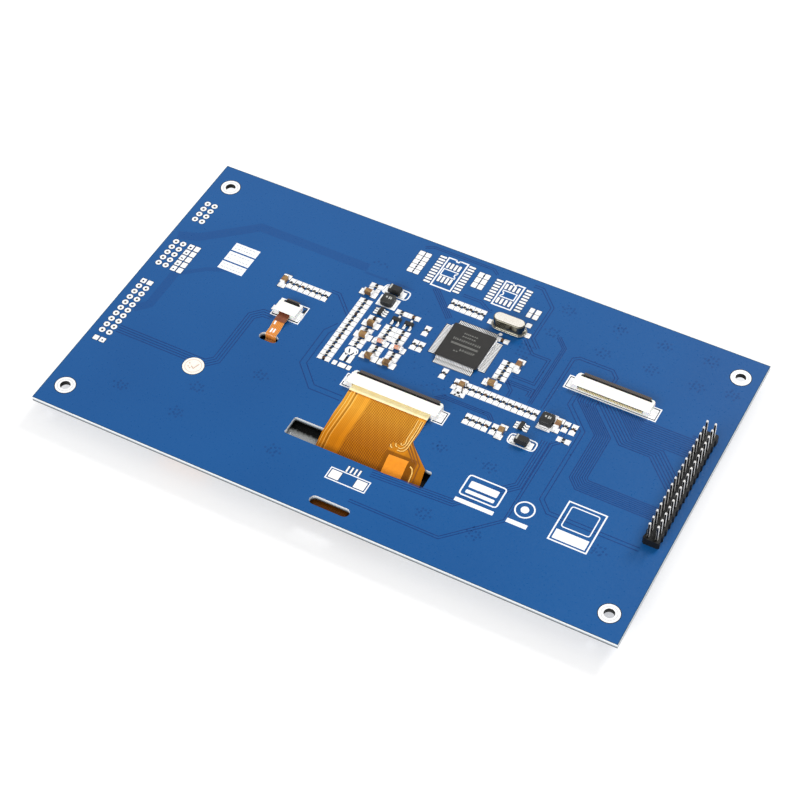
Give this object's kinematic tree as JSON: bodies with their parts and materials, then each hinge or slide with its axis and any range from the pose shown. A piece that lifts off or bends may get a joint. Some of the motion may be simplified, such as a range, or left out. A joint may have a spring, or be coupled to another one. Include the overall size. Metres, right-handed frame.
{
  "type": "tft display module",
  "caption": "Touch display module seen from the back: blue board with a pin header, cable connectors, folded flat cables and a display behind a cover glass",
  "frame": {"origin": "under the middle of the module, at the front of the cover glass it lies on", "axes": "+X along the long side of the board towards the pin header, +Y from the side with the cable folds to the far side, +Z from the glass to the back of the board"},
  "size_m": [0.186, 0.1102, 0.0162],
  "materials": {
    "clear_glass": "gloss",
    "film": "satin",
    "dark_film": "gloss",
    "foam": "matt",
    "bezel_steel": "satin",
    "white_moulding": "matt",
    "board_blue": "solder mask",
    "tinned": "satin",
    "gold": "satin",
    "black_moulding": "matt",
    "latch_grey": "matt",
    "flex_orange": "satin",
    "stiffener_yellow": "satin",
    "stiffener_brown": "satin",
    "ceramic_tan": "matt",
    "ceramic_white": "matt",
    "ferrite": "matt",
    "orange_glass": "gloss",
    "can_steel": "satin",
    "paper_white": "matt"
  },
  "bodies": {
    "module": {"cover_glass": "clear_glass", "optical_adhesive": "film", "sensor_glass": "clear_glass", "gasket": "foam", "lcd_bezel": "bezel_steel", "front_polarizer": "dark_film", "colour_filter_glass": "clear_glass", "tft_glass": "clear_glass", "driver_chips": "black_moulding", "rear_polarizer": "dark_film", "mould_frame": "white_moulding", "prism_sheets": "film", "diffuser": "film", "light_guide": "film", "reflector": "film", "led_strip": "stiffener_yellow", "backlight_leds": "white_moulding", "rear_plate": "bezel_steel", "foam_tapes": "foam", "display_flex": "flex_orange", "display_stiffener": "stiffener_yellow", "touch_flex": "flex_orange", "touch_stiffener": "stiffener_brown", "touch_controller": "black_moulding", "circuit_board": "board_blue", "header_base": "black_moulding", "header_pins": "tinned", "controller_chip": "black_moulding", "controller_leads": "tinned", "crystal_can": "can_steel", "crystal_base": "black_moulding", "crystal_tabs": "tinned", "diode_bodies": "black_moulding", "diode_leads": "tinned", "glass_diodes": "orange_glass", "glass_diode_caps": "tinned", "inductor_bodies": "ferrite", "inductor_terminals": "tinned", "transistor_bodies": "black_moulding", "transistor_leads": "tinned", "chip_resistors": "ceramic_white", "ceramic_capacitors": "ceramic_tan", "round_sticker": "paper_white", "display_connector_housing": "white_moulding", "display_connector_contacts": "gold", "display_connector_tabs": "tinned", "spare_connector_housing": "white_moulding", "spare_connector_contacts": "gold", "spare_connector_tabs": "tinned", "touch_connector_housing": "white_moulding", "touch_connector_contacts": "gold", "touch_connector_tabs": "tinned"},
    "display_latch": {"display_connector_latch": "latch_grey"},
    "spare_latch": {"spare_connector_latch": "latch_grey"},
    "touch_latch": {"touch_connector_latch": "latch_grey"}
  },
  "joints": [
    {"name": "display_latch_hinge", "type": "hinge", "parent": "module", "child": "display_latch", "pos_m": [0.0007, -0.0042, 0.00865], "axis": [1, 0, 0], "range_deg": [0, 90]},
    {"name": "spare_latch_hinge", "type": "hinge", "parent": "module", "child": "spare_latch", "pos_m": [0.0568, 0.0252, 0.00865], "axis": [1, 0, 0], "range_deg": [0, 90]},
    {"name": "touch_latch_hinge", "type": "hinge", "parent": "module", "child": "touch_latch", "pos_m": [-0.0436, 0.0109, 0.00865], "axis": [1, 0, 0], "range_deg": [0, 90]}
  ]
}
